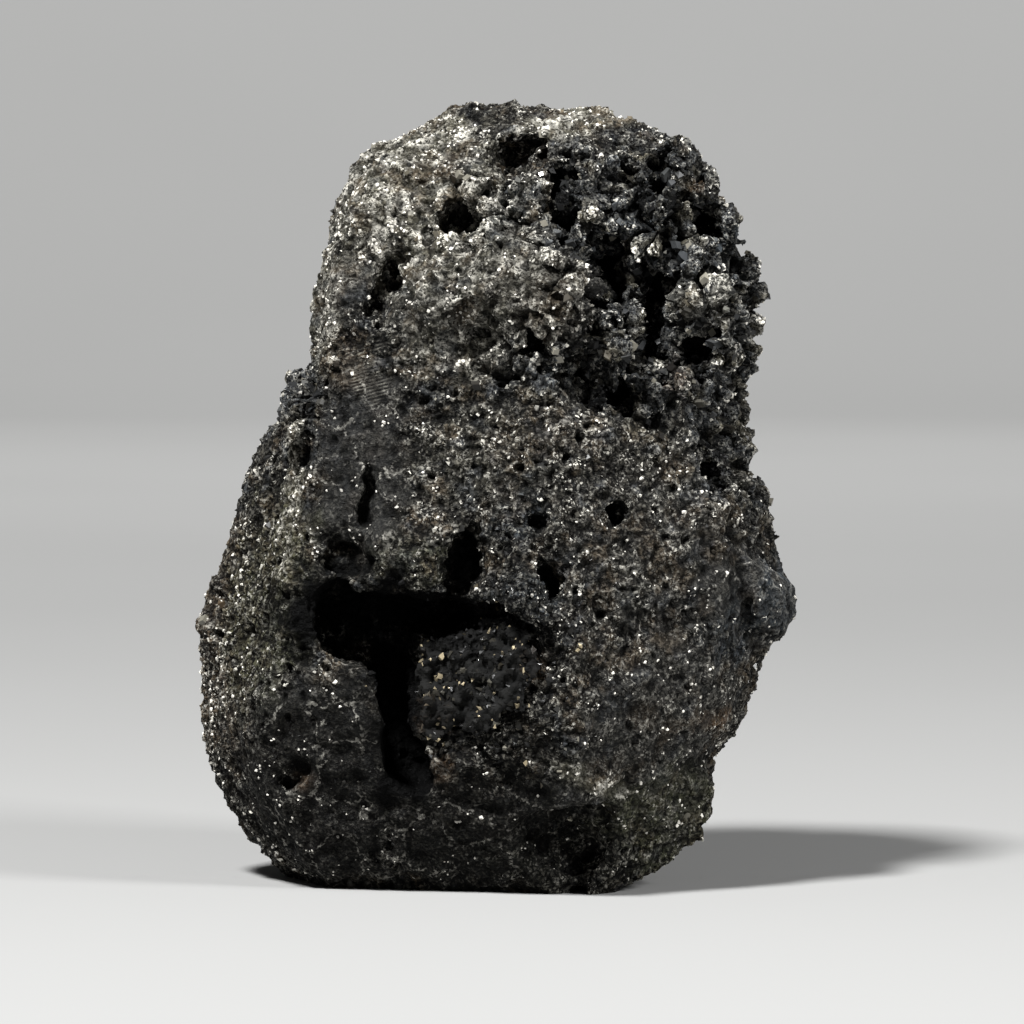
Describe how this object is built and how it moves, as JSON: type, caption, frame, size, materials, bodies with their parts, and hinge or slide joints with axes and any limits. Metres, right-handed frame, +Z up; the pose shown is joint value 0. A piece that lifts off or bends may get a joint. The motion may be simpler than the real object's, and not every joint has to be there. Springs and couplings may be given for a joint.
{
  "type": "calcite specimen",
  "caption": "Upright crystal of black calcite with blunt top, stepped and pitted faces, a deep druse-lined hollow in its front and a flat foot; a display specimen.",
  "frame": {"origin": "middle of the bounding box in X and Y, at the flat foot", "axes": "+Z up along the crystal; the deep hollow faces -Y; +X to the right seen from the hollow's side"},
  "size_m": [0.0926, 0.0658, 0.1199],
  "materials": {
    "black_calcite": "granular, nearly black, with frosted and glinting grains",
    "grey_druse": "small grey and brown crystal tips, glossy"
  },
  "bodies": {
    "root": {"calcite_crystal": "black_calcite", "hollow_druse": "grey_druse"}
  },
  "joints": []
}
